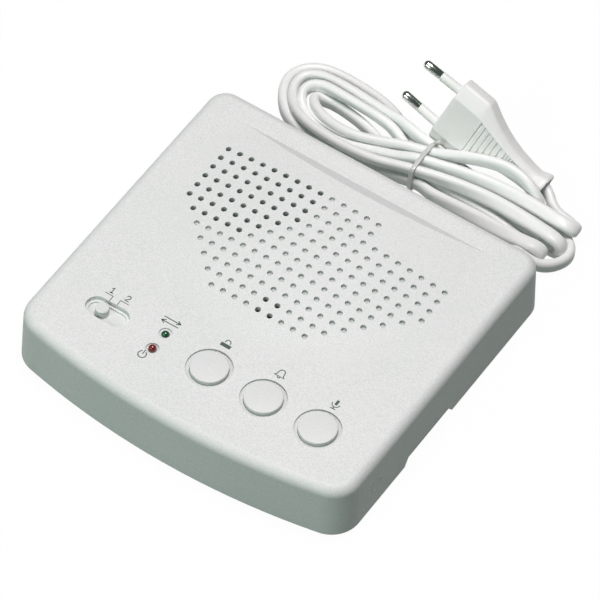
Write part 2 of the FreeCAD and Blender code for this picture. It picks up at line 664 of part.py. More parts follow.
fuse_x = 30.0
fuse_y = 44.0
fuse_radius = 2.5
fuse_half = 10.0
fuse_z = board_top + 4.4
mains_fuse = Part.makeCylinder(fuse_radius, 2.0 * fuse_half, V(fuse_x - fuse_half, fuse_y, fuse_z), V(1, 0, 0))
save(mains_fuse, "mains_fuse")
clips = []
for side in (-1, 1):
    x = fuse_x + side * (fuse_half - 2.8)
    clip = block(x - 2.2, x + 2.2, fuse_y - 3.3, fuse_y + 3.3, board_top, fuse_z + 1.6)
    bore = Part.makeCylinder(fuse_radius + 0.03, 8.0, V(x - 4.0, fuse_y, fuse_z), V(1, 0, 0))
    clip = clip.cut([bore, block(x - 4.0, x + 4.0, fuse_y - 2.0, fuse_y + 2.0, fuse_z, fuse_z + 5.0)])
    clips.append(clip)
save(Part.makeCompound(clips), "fuse_clips")

coupling_x = 13.0
coupling_y = 44.0
coupling = turned([(0, 0), (6.0, 0), (6.0, 1.5), (4.6, 1.5), (4.6, 9.5), (6.0, 9.5), (6.0, 11.0), (0, 11.0)], 0, 0)
coupling.translate(V(coupling_x, coupling_y, board_top))
save(coupling, "line_coupling_coil")
save(block(28.0, 46.0, 30.0, 37.0, board_top, board_top + 12.0), "line_capacitor")
save(block(49.0, 60.0, 42.0, 49.5, board_top, board_top + 8.0), "mains_terminal_block")


def wire_run(points, radius, first_way, last_way):
    # soft wire along a smooth curve through the points, square to the faces it joins
    curve = Part.BSplineCurve()
    curve.interpolate(Points=[V(*p) for p in points], InitialTangent=first_way, FinalTangent=last_way)
    edge = curve.toShape()
    section = Part.Wire([Part.makeCircle(radius, V(*points[0]), first_way)])
    return Part.Wire([edge]).makePipeShell([section], True, True)


wire_radius = 0.6
down = V(0, 0, -1)
terminal_top = board_top + 8.0
mains_wires = [wire_run([(cord_exit_x + k, relief_tail_y, cord_exit_z),
                         (cord_exit_x - 2.0 + 1.4 * k, 50.5, terminal_top + 2.6),
                         (cord_exit_x - 2.5 + 1.6 * k, 47.0, terminal_top)], wire_radius, V(0, -1, 0), down)
               for k in (-1.3, 1.3)]
save(Part.makeCompound(mains_wires), "inner_mains_wires")
speaker_wires = [wire_run([(-8.0 + k, 33.0, clip_level), (0.0 + k, 29.0, 14.0), (6.5 + k, 27.0, board_top)],
                          wire_radius, down, down) for k in (-0.8, 0.8)]
save(Part.makeCompound(speaker_wires), "speaker_wires")
microphone_wires = [wire_run([(microphone_x + k, microphone_y, capsule_bottom),
                              (microphone_x - 0.7 + k, microphone_y - 1.5, 15.0),
                              (microphone_x - 1.4 + k, microphone_y - 3.0, board_top)], 0.5, down, down)
                    for k in (-0.9, 0.9)]
save(Part.makeCompound(microphone_wires), "microphone_wires")

# Moulded strain relief through the rear wall: a tail inside, flanges on both faces of the wall, a short nose
wall_outer_y = case_half_depth - (cord_exit_z - desk_gap) * wall_draft
wall_inner_y = wall_outer_y - wall_thickness
relief_profile = [(0, relief_tail_y), (3.3, relief_tail_y), (3.9, wall_inner_y - 1.9), (5.4, wall_inner_y - 1.5),
                  (5.4, wall_inner_y - 0.25), (relief_radius, wall_inner_y - 0.25), (relief_radius, wall_outer_y + 0.25),
                  (5.2, wall_outer_y + 0.25), (5.0, wall_outer_y + 1.2), (3.7, cord_nose_end_y), (0, cord_nose_end_y)]
points = [V(r, y, 0) for r, y in relief_profile]
relief = Part.Face(Part.makePolygon(points + [points[0]])).revolve(V(0, 0, 0), V(0, 1, 0), 360)
relief.translate(V(cord_exit_x, 0, cord_exit_z))
save(relief, "cord_strain_relief")


def run_points(start, steps):
    # points of the lead from headings in degrees, plan lengths and heights of the run ends
    points = [start]
    for heading, run, z in steps:
        turn = math.radians(heading)
        last = points[-1]
        points.append(V(last.x + run * math.cos(turn), last.y + run * math.sin(turn), z))
    return points


def lead_section(point, way):
    # rounded section of the flat lead, its wide side upright
    side = way.cross(V(0, 0, 1)).normalize()
    up = side.cross(way).normalize()
    r = cord_thickness / 2.0
    high = point + up * (cord_width / 2.0 - r)
    low = point - up * (cord_width / 2.0 - r)
    return Part.Wire([
        Part.LineSegment(high + side * r, low + side * r).toShape(),
        Part.Arc(low + side * r, low - up * r, low - side * r).toShape(),
        Part.LineSegment(low - side * r, high - side * r).toShape(),
        Part.Arc(high - side * r, high + up * r, high + side * r).toShape(),
    ])


def lead_tube(points, name):
    # flat lead along straight runs joined by tangent arcs, the arc radius set by the shorter run at each bend
    edges = []
    last = points[0]
    for i in range(1, len(points) - 1):
        before = points[i] - points[i - 1]
        after = points[i + 1] - points[i]
        turn = before.getAngle(after)
        shorter = min(before.Length, after.Length)
        radius = 0.45 * shorter / math.tan(turn / 2.0)
        reach = 0.45 * shorter
        before.normalize()
        after.normalize()
        start = points[i] - before * reach
        end = points[i] + after * reach
        toward = (after - before).normalize()
        centre = points[i] + toward * (radius / math.cos(turn / 2.0))
        middle = centre - toward * radius
        edges.append(Part.LineSegment(last, start).toShape())
        edges.append(Part.Arc(start, middle, end).toShape())
        last = end
        print("%s bend %d: turn %.0f deg, radius %.1f mm" % (name, i, math.degrees(turn), radius))
    edges.append(Part.LineSegment(last, points[-1]).toShape())
    path = Part.Wire(edges)
    section = lead_section(points[0], points[1] - points[0])
    shape = path.makePipeShell([section], True, False)
    share = shape.Volume / (Part.Face(section).Area * path.Length)
    print("%s length %.1f mm, volume over section times length %.3f" % (name, path.Length, share))
    return shape


# Mains lead: out of the wall, round the right end of the hank and into it
lead_start = V(cord_exit_x, cord_nose_end_y, cord_exit_z)
lead_steps = [(90.0, 4.0, 10.5), (60.0, 4.1, 9.7), (31.0, 4.4, 8.0), (6.0, 5.2, 5.8), (24.0, 4.8, 4.3),
              (50.0, 4.8, 3.6), (80.0, 4.4, 3.4), (108.0, 4.2, 3.4), (136.0, 4.1, 3.5), (162.0, 3.9, 3.6),
              (180.0, 4.1, 3.6)]
lead_points = run_points(lead_start, lead_steps)
print("mains lead ends at", lead_points[-1])
mains_cord = lead_tube(lead_points, "mains_cord")
save(mains_cord, "mains_cord")

# Flat mains plug in its own axes: X out of the face along the pins, Y from one pin to the other, Z across
plug_turn = FreeCAD.Rotation(plug_heading, plug_pitch, plug_roll)
plug_place = FreeCAD.Placement(plug_face, plug_turn)
for axis in (V(1, 0, 0), V(0, 1, 0), V(0, 0, 1)):
    print("plug axis", plug_turn.multVec(axis))


def plug_section(back, half_width, flat_width, half_thickness, edge_thickness):
    # eight-sided section of the plug at a distance behind its face
    corners = [(half_width, edge_thickness), (flat_width, half_thickness), (-flat_width, half_thickness),
               (-half_width, edge_thickness), (-half_width, -edge_thickness), (-flat_width, -half_thickness),
               (flat_width, -half_thickness), (half_width, -edge_thickness)]
    points = [V(-back, y, z) for y, z in corners]
    return Part.makePolygon(points + [points[0]])


w = plug_half_width
t = plug_half_thickness
plug_sections = [plug_section(0.0, w, 9.0, t, 3.0), plug_section(13.7, w, 9.0, t, 3.0),
                 plug_section(24.0, 11.6, 6.8, 6.4, 3.0), plug_section(34.0, 7.6, 4.6, 5.6, 2.8),
                 plug_section(45.0, 5.6, 3.0, 4.8, 2.6), plug_section(48.5, 7.0, 3.2, 6.4, 3.2),
                 plug_section(51.0, 6.4, 2.9, 5.8, 2.9)]
plug_parts = []
for i in range(len(plug_sections) - 1):
    plug_parts.append(Part.makeLoft([plug_sections[i], plug_sections[i + 1]], True, True))
for side in (-1, 1):
    root = V(-0.5, side * pin_base_spacing / 2.0, 0)
    tip = V(pin_length, side * pin_tip_spacing / 2.0, 0)
    direction = (tip - root).normalize()
    plug_parts.append(Part.makeCylinder(pin_radius, pin_sleeve_length + 0.5, root, direction))
plug_body = fuse_all(plug_parts)
pins = []
core_radius = 1.4
pin_holes = []
for side in (-1, 1):
    root = V(0, side * pin_base_spacing / 2.0, 0)
    tip = V(pin_length, side * pin_tip_spacing / 2.0, 0)
    direction = (tip - root).normalize()
    shoulder = root + direction * (pin_sleeve_length + seat_gap)
    inner = root - direction * 8.0
    pin = Part.makeCylinder(pin_radius, pin_length - pin_sleeve_length - seat_gap, shoulder, direction)
    end = [e for e in pin.Edges if e.BoundBox.XMin > pin_length - 0.2]
    pin = pin.makeChamfer(0.7, end)
    pins.append(pin.fuse(Part.makeCylinder(core_radius, 8.0 + pin_sleeve_length + 0.5, inner, direction)))
    pin_holes.append(Part.makeCylinder(core_radius + seat_gap, 9.0 + pin_sleeve_length, inner - direction * seat_gap,
                                       direction))
plug_body = plug_body.cut(pin_holes)
tail_bore = Part.makeCylinder(cord_width / 2.0 + 0.3, 6.0, V(-51.5, 0, 0), V(1, 0, 0))
plug_body = plug_body.cut(tail_bore)
plug_body.Placement = plug_place
save(plug_body, "plug_body")
plug_pins = Part.makeCompound(pins)
plug_pins.Placement = plug_place
save(plug_pins, "plug_pins")

# Last stretch of the lead: out of the plug's tail, round and back into the right end of the hank
tail_start = plug_place.multVec(V(-45.6, 0, 0))
tail_way = plug_turn.multVec(V(-1, 0, 0))
hank_end_x = lead_points[-1].x
tail_steps = [(-25.3, 5.9, 5.3), (-20.1, 6.4, 5.0), (-16.0, 6.2, 5.1), (-29.5, 3.8, 6.4), (-67.4, 3.3, 8.4),
              (-112.6, 3.3, 9.9), (-150.5, 3.8, 10.2)]
tail_points = [tail_start] + run_points(tail_start + tail_way * 7.0, tail_steps)
tail_points.append(V(hank_end_x, tail_points[-1].y, tail_points[-1].z))
print("plug lead ends at", tail_points[-1])
save(lead_tube(tail_points, "plug_lead"), "plug_lead")

# Hank: the outer shape of the folded lead, two strands high, drawn in where the tie holds it, with its left loop
# spread on the floor, a hump where one strand leans on the plug, room for the lead's first bend, and one fold
# that stands out of its right end. Each row: x, front y, rear y at the floor, lowest z, z of the front edge of the
# top, then y and z of the rear edge, then y and z of the crest.
tie_low = 1.3
tie_front = 92.4
tie_rear = 112.8
tie_top = 13.0
hank_sections = [(-69.0, 106.0, 117.0, 0.0, 5.6, 117.0, 3.6, 115.0, 5.8),
                 (-66.0, 98.6, 121.8, 0.0, 7.0, 121.8, 4.4, 119.0, 7.2),
                 (-60.0, 93.8, 125.0, 0.0, 8.8, 125.0, 5.0, 118.4, 9.8),
                 (-54.0, 90.8, 126.2, 0.0, 11.2, 126.2, 5.4, 118.2, 11.6),
                 (-42.0, 88.8, 126.4, 0.0, 12.4, 126.4, 5.4, 118.2, 12.2),
                 (-30.0, 88.4, 125.3, 0.0, 12.6, 125.3, 5.4, 118.0, 12.5),
                 (-18.0, 88.6, 121.9, 0.0, 12.6, 121.9, 5.6, 117.0, 12.7),
                 (-11.0, 89.6, 117.6, 0.0, 12.8, 117.6, 6.0, 115.4, 12.9),
                 (tie_x - 6.0, 91.2, 113.6, 0.6, 12.9, 113.8, 11.0, 112.0, 13.0),
                 (tie_x - 2.0, tie_front, tie_rear, tie_low, tie_top, tie_rear, tie_top - 2.2, tie_rear - 2.2, tie_top),
                 (tie_x + 2.0, tie_front, tie_rear, tie_low, tie_top, tie_rear, tie_top - 2.2, tie_rear - 2.2, tie_top),
                 (tie_x + 8.0, 92.5, 113.2, 0.6, 12.8, 113.2, 13.4, 111.4, 15.4),
                 (18.0, 92.6, 113.0, 0.0, 12.6, 113.2, 14.4, 112.0, 16.6),
                 (26.0, 92.6, 112.8, 0.0, 12.5, 114.6, 15.0, 113.8, 17.2),
                 (36.0, 92.3, 112.8, 0.0, 12.5, 116.0, 14.4, 115.0, 16.6),
                 (46.0, 91.0, 112.8, 0.0, 12.5, 114.4, 11.6, 113.2, 13.6),
                 (54.0, 90.3, 112.4, 0.0, 12.4, 113.0, 10.8, 111.4, 13.0),
                 (hank_end_x, 90.0, 110.4, 0.0, 12.4, 110.4, 11.4, 108.4, 13.6)]
fold_sections = [(hank_end_x - 0.5, 95.6, 102.4, 0.8, 12.4), (73.6, 96.4, 101.6, 2.8, 10.4)]


def soft_section(x, y0, y1, z0, z1, bevel=2.2):
    # section across the hank with bevelled corners
    corners = [(y0 + bevel, z0), (y1 - bevel, z0), (y1, z0 + bevel), (y1, z1 - bevel), (y1 - bevel, z1),
               (y0 + bevel, z1), (y0, z1 - bevel), (y0, z0 + bevel)]
    points = [V(x, y, z) for y, z in corners]
    return Part.makePolygon(points + [points[0]])


def hank_section(x, front, low_rear, low, front_top, rear, rear_top, crest, crest_top, bevel=2.2):
    # section across the hank whose top runs from a front edge up or down to a crest near the rear
    corners = [(front + bevel, low), (low_rear - bevel, low), (low_rear, low + bevel), (rear, rear_top),
               (crest, crest_top), (front + bevel, front_top), (front, front_top - bevel), (front, low + bevel)]
    points = [V(x, y, z) for y, z in corners]
    return Part.makePolygon(points + [points[0]])


wires = [hank_section(*place) for place in hank_sections]
hank = fuse_all([Part.makeLoft([wires[i], wires[i + 1]], True, True) for i in range(len(wires) - 1)])
room_top = 14.0
room = [V(48, 78, -1), V(50, 84.5, -1), V(55, 90, -1), V(62, 93.8, -1), V(72, 95, -1), V(72, 78, -1)]
hank = hank.cut(Part.Face(Part.makePolygon(room + [room[0]])).extrude(V(0, 0, room_top + 1.0)))
fold = Part.makeLoft([soft_section(*place, 1.6) for place in fold_sections], True, True)
hank = fuse_all([hank, fold])
save(hank, "cord_hank")

# Wire tie round the waist of the hank
x0 = tie_x - tie_width / 2.0
inner = Part.Face(soft_section(x0, tie_front, tie_rear, tie_low, tie_top)).extrude(V(tie_width, 0, 0))
outer = Part.Face(soft_section(x0, tie_front - tie_thickness, tie_rear + tie_thickness, tie_low - tie_thickness,
                               tie_top + tie_thickness, 2.7)).extrude(V(tie_width, 0, 0))
save(outer.cut(inner), "cord_tie")
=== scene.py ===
"""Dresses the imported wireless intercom: pale case, buttons, lamps, insides, and the flat mains lead in its hank."""

import math

import bmesh
import bpy
from mathutils import Euler, Matrix, Vector
from mathutils.bvhtree import BVHTree


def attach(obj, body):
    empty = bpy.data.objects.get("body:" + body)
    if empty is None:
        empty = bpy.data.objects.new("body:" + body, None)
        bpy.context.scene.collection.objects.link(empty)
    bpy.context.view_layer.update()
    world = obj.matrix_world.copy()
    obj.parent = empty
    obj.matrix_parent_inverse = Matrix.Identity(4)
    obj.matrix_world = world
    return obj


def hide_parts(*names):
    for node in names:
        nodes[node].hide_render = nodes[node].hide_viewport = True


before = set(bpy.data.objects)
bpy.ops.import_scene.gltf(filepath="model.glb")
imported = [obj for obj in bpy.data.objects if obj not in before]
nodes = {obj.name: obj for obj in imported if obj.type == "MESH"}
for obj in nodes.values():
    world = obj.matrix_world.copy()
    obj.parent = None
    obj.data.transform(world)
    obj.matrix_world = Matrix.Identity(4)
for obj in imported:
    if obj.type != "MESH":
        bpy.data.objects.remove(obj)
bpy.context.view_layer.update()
MM = 0.001


# Camera: the photograph's own view, fitted to the lattice of dots and the outline of the case.
# A long lens from above the front right corner, rolled by three degrees.
camera_right = Vector((0.83016, 0.55660, 0.03203))
camera_back = Vector((0.317060, -0.518594, 0.794061)).normalized()
camera_up = camera_back.cross(camera_right).normalized()
camera_right = camera_up.cross(camera_back).normalized()
lens_data = bpy.data.cameras.new("camera")
lens_data.sensor_width = 36.0
lens_data.lens = 343.49
lens_data.clip_start = 0.1
lens_data.clip_end = 20.0
camera = bpy.data.objects.new("camera", lens_data)
bpy.context.scene.collection.objects.link(camera)
turn = Matrix((camera_right, camera_up, camera_back)).transposed().to_4x4()
camera.matrix_world = Matrix.Translation((0.72066, -1.15951, 1.80834)) @ turn
bpy.context.scene.camera = camera


# Studio: a large soft lamp high above and a little behind the case, a weaker one in front to the left, and an
# even, faintly green room. The right and front walls of the case fall into soft green-grey shade.
def soft_lamp(name, place, target, size, power, colour):
    data = bpy.data.lights.new(name, "AREA")
    data.shape = "SQUARE"
    data.size = size
    data.energy = power
    data.color = colour
    lamp = bpy.data.objects.new(name, data)
    bpy.context.scene.collection.objects.link(lamp)
    lamp.location = place
    lamp.rotation_euler = (Vector(target) - Vector(place)).to_track_quat("-Z", "Y").to_euler()


soft_lamp("overhead_lamp", (0.0, 0.16, 1.87), (0.0, 0.02, 0.0), 0.6, 27.6, (1.0, 0.915, 0.955))
soft_lamp("front_lamp", (-0.45, -1.48, 1.10), (0.0, 0.0, 0.0), 0.9, 10.5, (0.86, 1.0, 0.93))
room = bpy.data.worlds.new("room")
room.use_nodes = True
room.node_tree.nodes["Background"].inputs["Color"].default_value = (0.70, 1.0, 0.85, 1.0)
room.node_tree.nodes["Background"].inputs["Strength"].default_value = 0.085
bpy.context.scene.world = room
bpy.context.scene.view_settings.view_transform = "Standard"


# Floor: white studio paper. The camera and mirror rays see it nearly white and it keeps the soft shadow,
# while what it throws back at the case stays low.
class Sock:
    """One output in a material's node tree. Arithmetic on it adds Math nodes, and node() adds any other node."""

    def __init__(self, tree, out=None):
        self.tree = tree
        self.out = out

    def node(self, kind, settings=None, inputs=None, output=0):
        made = self.tree.nodes.new("ShaderNode" + kind)
        for key, value in (settings or {}).items():
            if key == "stops":
                made.color_ramp.elements[0].position, made.color_ramp.elements[0].color = value[0]
                made.color_ramp.elements[1].position, made.color_ramp.elements[1].color = value[-1]
                for place, colour in value[1:-1]:
                    made.color_ramp.elements.new(place).color = colour
            else:
                setattr(made, key, value)
        for key, value in (inputs or {}).items():
            if isinstance(value, Sock):
                self.tree.links.new(value.out, made.inputs[key])
            else:
                made.inputs[key].default_value = value
        return Sock(self.tree, made.outputs[output])

    def math(self, operation, first, second):
        return self.node("Math", {"operation": operation}, {0: first, 1: second})

    def __add__(self, other):
        return self.math("ADD", self, other)

    def __mul__(self, other):
        return self.math("MULTIPLY", self, other)

    def __sub__(self, other):
        return self.math("SUBTRACT", self, other)

    def __rsub__(self, other):
        return self.math("SUBTRACT", other, self)

    __radd__ = __add__
    __rmul__ = __mul__

    def above(self, low, high):
        """0 below low, 1 above high, and a smooth step between them."""
        return self.node("MapRange", {"interpolation_type": "SMOOTHSTEP"}, {0: self, 1: low, 2: high})

    def mix(self, first, second):
        """The colour first where this value is 0, second where it is 1."""
        return self.node("Mix", {"data_type": "RGBA"}, {0: self, 6: first, 7: second}, output=2)

    def noise(self, scale, detail, roughness=0.5):
        """Noise over the piece's own place in metres: scale is in cells per metre."""
        place = self.node("TexCoord", output="Object")
        return self.node("TexNoise", None, {"Vector": place, "Scale": scale, "Detail": detail,
                                            "Roughness": roughness})

    def into(self, shader, socket):
        self.tree.links.new(self.out, shader.inputs[socket])


def shade(red, green, blue):
    """A colour written as it shows on screen, 0 to 255, in the linear values that a shader takes."""
    parts = [c / 255.0 for c in (red, green, blue)]
    return tuple(c / 12.92 if c <= 0.04045 else ((c + 0.055) / 1.055) ** 2.4 for c in parts) + (1.0,)


def new_finish(name, **constants):
    """A material, its shader with these constants on its own sockets, and a start for its nodes."""
    made = bpy.data.materials.new(name)
    made.use_nodes = True
    shader = made.node_tree.nodes["Principled BSDF"]
    for socket, value in constants.items():
        shader.inputs[socket.replace("_", " ")].default_value = value
    return made, shader, Sock(made.node_tree)


paper = bpy.data.materials.new("studio_paper")
paper.use_nodes = True
tree = paper.node_tree
start = Sock(tree)
fibres = start.noise(900.0, 3.0)
thrown = fibres.mix(shade(118, 128, 122), shade(124, 134, 128))
viewed = fibres.mix(shade(246, 247, 247), shade(250, 251, 251))
direct, mirrored, passed = (start.node("LightPath", output=kind)
                            for kind in ("Is Camera Ray", "Is Glossy Ray", "Is Transmission Ray"))
seen = start.math("MINIMUM", direct + mirrored + passed, 1.0)
lit = start.node("BsdfDiffuse", None, {"Color": seen.mix(thrown, viewed)})
glow = start.node("Emission", None, {"Color": (1.0, 1.0, 1.0, 1.0), "Strength": 1.0})
white_share = 0.97
both = start.node("MixShader", None, {0: seen * white_share, 1: lit, 2: glow})
tree.links.new(both.out, tree.nodes["Material Output"].inputs["Surface"])


def mesh_piece(name, verts, faces, material, smooth=True):
    data = bpy.data.meshes.new(name)
    data.from_pydata([tuple(v) for v in verts], [], faces)
    data.validate()
    data.polygons.foreach_set("use_smooth", [smooth] * len(data.polygons))
    data.materials.append(material)
    made = bpy.data.objects.new(name, data)
    bpy.context.scene.collection.objects.link(made)
    return made


reach = 3.0
floor = mesh_piece("studio_floor", [(-reach, -reach, 0), (reach, -reach, 0), (reach, reach, 0), (-reach, reach, 0)],
                   [(0, 1, 2, 3)], paper, smooth=False)


# Case: top cover and base plate, injection moulded in pale grey-green white plastic with a fine matt spark
# texture. The base plate is held to the cover by four screws from below, and rubber feet sit in its recesses.
def deeper(colour, factors):
    """The colour with its red, green and blue each multiplied by a factor of their own."""
    return tuple(c * f for c, f in zip(colour, factors)) + (1.0,)


def moulded(name, colour, roughness=0.5, grain=2200.0, depth=0.12, shadow=(0.94, 0.96, 0.95), specular=0.4,
            speckle=0.0, painted_recess_shade=0.0):
    """Moulded plastic or rubber with a fine grain. speckle is the strength of its sand texture, and the last
    argument is the strength of a painted shade: the colour darkens in narrow recesses, where shade would fall."""
    made, shader, start = new_finish(name, Specular_IOR_Level=specular)
    fine = start.noise(grain, 4.0, 0.6)
    broad = start.noise(22.0, 3.0)
    specks = start.noise(900.0, 1.0).above(0.70, 0.76)
    base = (broad * 0.5 + fine * 0.5).above(0.35, 0.65).mix(deeper(colour, shadow), colour)
    base = (specks * 0.25).mix(base, deeper(colour, (0.8, 0.8, 0.8)))
    if speckle:
        sand = start.noise(2400.0, 1.0).above(0.36, 0.64)
        base = (sand * speckle).mix(base, deeper(colour, (0.62, 0.68, 0.65)))
    # Painted shade: an ambient occlusion node darkens the colour in recesses narrower than 2.2 mm, where shade falls.
    if painted_recess_shade:
        widest_hollow = 0.0022
        open_sky = start.node("AmbientOcclusion", {"samples": 8}, {"Distance": widest_hollow}, output="AO")
        painted_shade_mask = (1.0 - open_sky).above(0.30, 0.85)
        base = (painted_shade_mask * painted_recess_shade).mix(base, deeper(colour, (0.30, 0.36, 0.33)))
    base.into(shader, "Base Color")
    (fine * 0.16 + (roughness - 0.08)).into(shader, "Roughness")
    start.node("Bump", None, {"Strength": depth, "Distance": 0.00012, "Height": fine}).into(shader, "Normal")
    return made


def dress(material, slot, *names):
    """Gives CAD nodes their finish: the node keeps its mesh and place."""
    for name in names:
        data = nodes[name].data
        data.materials.clear()
        data.materials.append(material)


# The case gets painted shade in its dots and other narrow recesses.
case_plastic = moulded("case_plastic", shade(238, 239, 238), 0.52, 2000.0, 0.5, speckle=0.40, painted_recess_shade=0.75)
dress(case_plastic, "case_plastic", "top_cover", "base_plate")
rubber = moulded("foot_rubber", shade(38, 38, 39), 0.8, 1500.0, 0.3, (0.7, 0.7, 0.7), 0.3)
dress(rubber, "foot_rubber", "rubber_feet")


# Screws: zinc-plated steel. Four hold the base plate to the cover and four the board to the base plate, and
# others with wide heads clamp the loudspeaker's rim.
def metal(name, colour, roughness):
    made, shader, start = new_finish(name, Metallic=1.0)
    fine = start.noise(700.0, 5.0, 0.6)
    stain = start.noise(90.0, 3.0).above(0.45, 0.7)
    (stain * 0.35).mix(colour, deeper(colour, (0.6, 0.6, 0.6))).into(shader, "Base Color")
    (fine * 0.2 + (roughness - 0.1)).into(shader, "Roughness")
    start.node("Bump", None, {"Strength": 0.05, "Distance": 0.00005, "Height": fine}).into(shader, "Normal")
    return made


zinc = metal("screw_steel", shade(188, 190, 190), 0.35)
dress(zinc, "screw_steel", "case_screws", "speaker_clamp_screws", "board_screws")


# Buttons and slider: satin plastic mouldings in the colour of the case. Each is its own piece behind the cover:
# a button's cap stands in a round recess, and the slider's knob in the long one.
# The buttons and the knob get painted shade on their sides and edges, in the narrow gaps of their recesses.
button_plastic = moulded("button_plastic", shade(233, 234, 233), 0.40, 3000.0, 0.05, speckle=0.2, painted_recess_shade=0.75)
dress(button_plastic, "button_plastic", "lock_button", "call_button", "talk_button")
knob_plastic = moulded("knob_plastic", shade(226, 229, 227), 0.42, 3000.0, 0.08, painted_recess_shade=0.6)
dress(knob_plastic, "knob_plastic", "channel_slider")


# Printed marks: dark green-grey ink, pad printed on the flat front strip of the cover. Numbers and brackets at
# the channel switch, arrows and a power sign at the lamps, a padlock, a bell and a microphone at the buttons.
strip_level = 29.0
ink_rise = 0.04
ink_root = -0.02
ink_width = 0.42


def bow(x, y, radius, first, last, steps=10, tall=1.0):
    """Points of an arc in mm, angles in degrees."""
    angles = [math.radians(first + (last - first) * k / steps) for k in range(steps + 1)]
    return [(x + radius * math.cos(a), y + radius * tall * math.sin(a)) for a in angles]


def ink_mesh(name, lines, material):
    """Thin ribbons of ink on the strip: each line is its points in mm, its width, and whether it closes."""
    verts, faces = [], []
    for points, width, closed in lines:
        first = len(verts)
        count = len(points)
        for i, (x, y) in enumerate(points):
            before = points[i - 1] if i or closed else points[i]
            after = points[(i + 1) % count] if i < count - 1 or closed else points[i]
            back = Vector((x - before[0], y - before[1]))
            ahead = Vector((after[0] - x, after[1] - y))
            back = back.normalized() if back.length else ahead.normalized()
            ahead = ahead.normalized() if ahead.length else back
            along = (back + ahead).normalized()
            half = width / 2.0 / max(0.5, along.dot(ahead))
            if not closed and i in (0, count - 1):
                x, y = (Vector((x, y)) + (along if i else -along) * width * 0.35).to_tuple()
            for side, level in ((1, ink_rise), (-1, ink_rise), (-1, ink_root), (1, ink_root)):
                verts.append(((x - along.y * half * side) * MM, (y + along.x * half * side) * MM,
                              (strip_level + level) * MM))
        for i in range(count if closed else count - 1):
            a, b = first + 4 * i, first + 4 * ((i + 1) % count)
            faces += [(a + k, a + (k + 1) % 4, b + (k + 1) % 4, b + k) for k in range(4)]
        if not closed:
            last = first + 4 * (count - 1)
            faces += [(first, first + 3, first + 2, first + 1), (last, last + 1, last + 2, last + 3)]
    return mesh_piece(name, verts, faces, material, smooth=False)


def placed(x, y, lines, scale=1.0):
    """The lines of a mark moved to a place on the strip, in mm."""
    return [([(x + px * scale, y + py * scale) for px, py in points], width, closed)
            for points, width, closed in lines]


one = [([(-0.62, 0.75), (0.1, 1.3), (0.1, -1.3)], ink_width, False),
       ([(-0.55, -1.3), (0.75, -1.3)], ink_width, False)]
two = [(bow(0.0, 0.55, 0.78, 165, -38, 9) + [(-0.78, -1.3), (0.85, -1.3)], ink_width, False)]
brackets = [([(-54.2, -38.15), (-50.5, -38.15), (-50.5, -40.7)], 0.3, False),
            ([(-43.2, -38.15), (-46.9, -38.15), (-46.9, -40.7)], 0.3, False)]
arrows = [([(-3.3, 0.75), (3.1, 0.75)], ink_width, False),
          ([(2.0, 1.55), (3.3, 0.75), (2.0, -0.05)], ink_width, False),
          ([(3.3, -0.95), (-3.1, -0.95)], ink_width, False),
          ([(-2.0, -0.15), (-3.3, -0.95), (-2.0, -1.75)], ink_width, False)]
power = [(bow(0.0, -0.15, 1.4, 58, -238, 18), ink_width, False), ([(0.0, 1.75), (0.0, 0.1)], ink_width, False)]
padlock = [([(-1.25, -0.75), (1.25, -0.75)], 1.7, False), (bow(0.0, 0.35, 0.85, 0, 180, 8, 1.25), 0.38, False)]
bell = [(bow(0.0, 0.45, 1.0, 10, 170, 10, 1.15) + [(-1.15, -0.45), (-1.65, -1.0), (1.65, -1.0), (1.15, -0.45)],
         0.4, True), (bow(0.0, -1.25, 0.42, 190, 350, 5), 0.4, False)]
microphone = [([(0.0, 1.35), (0.0, 0.05)], 1.15, False), (bow(0.0, 0.15, 1.25, 180, 360, 10), 0.36, False),
              ([(0.0, -1.1), (0.0, -1.75)], 0.38, False), ([(-0.8, -1.8), (0.8, -1.8)], 0.38, False)]
ink = moulded("print_ink", shade(84, 102, 95), 0.55, 1900.0, 0.05, (0.86, 0.9, 0.88), 0.3)
marks = ink_mesh("printed_marks",
                 placed(-52.3, -35.8, one) + placed(-45.0, -35.7, two) + brackets
                 + placed(-24.8, -35.3, arrows, 1.15) + placed(-25.2, -54.6, power, 1.2)
                 + placed(-1.0, -31.7, padlock, 1.35) + placed(24.3, -31.7, bell, 1.3)
                 + placed(49.8, -31.6, microphone, 1.3), ink)
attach(marks, "case")


# Gate mark: the faint raised ring that the mould leaves on the right wall of the cover, part of that moulding and
# about a tenth of a millimetre proud. Rays from the right find each of its points on the wall.
wall = BVHTree.FromObject(nodes["top_cover"], bpy.context.evaluated_depsgraph_get())
gate_y, gate_z = -44.5, 14.0
gate_half_length, gate_half_height = 3.2, 3.6
gate_rise, gate_root = 0.09, -0.05
verts, faces = [], []
around = 48
for k in range(around):
    turn_angle = 2 * math.pi * k / around
    for size, lift in ((1.0, gate_root), (1.0, gate_rise), (0.9, gate_rise), (0.9, gate_root)):
        y = gate_y + gate_half_length * size * math.cos(turn_angle)
        z = gate_z + gate_half_height * size * math.sin(turn_angle)
        hit = wall.ray_cast(Vector((0.2, y * MM, z * MM)), Vector((-1, 0, 0)))
        verts.append(hit[0] + hit[1] * lift * MM)
    a, b = 4 * k, (4 * k + 4) % (4 * around)
    faces += [(a + j, a + (j + 1) % 4, b + (j + 1) % 4, b + j) for j in range(4)]
gate = mesh_piece("gate_mark", verts, faces, case_plastic)
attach(gate, "case")


# Lamps: dyed clear plastic, moulded, green for in use and red for power. Each stands on two legs on the board and
# its round tip shows in a small dish of the cover.
def gloss(name, colour, roughness=0.12, deep=0.35, scale=160.0):
    made, shader, start = new_finish(name, Coat_Weight=1.0, Coat_Roughness=0.03)
    cloud = start.noise(scale, 3.0)
    cloud.above(0.3, 0.7).mix(deeper(colour, (deep,) * 3), colour).into(shader, "Base Color")
    (cloud * 0.12 + roughness).into(shader, "Roughness")
    start.node("Bump", None, {"Strength": 0.05, "Distance": 0.0001, "Height": cloud}).into(shader, "Normal")
    return made


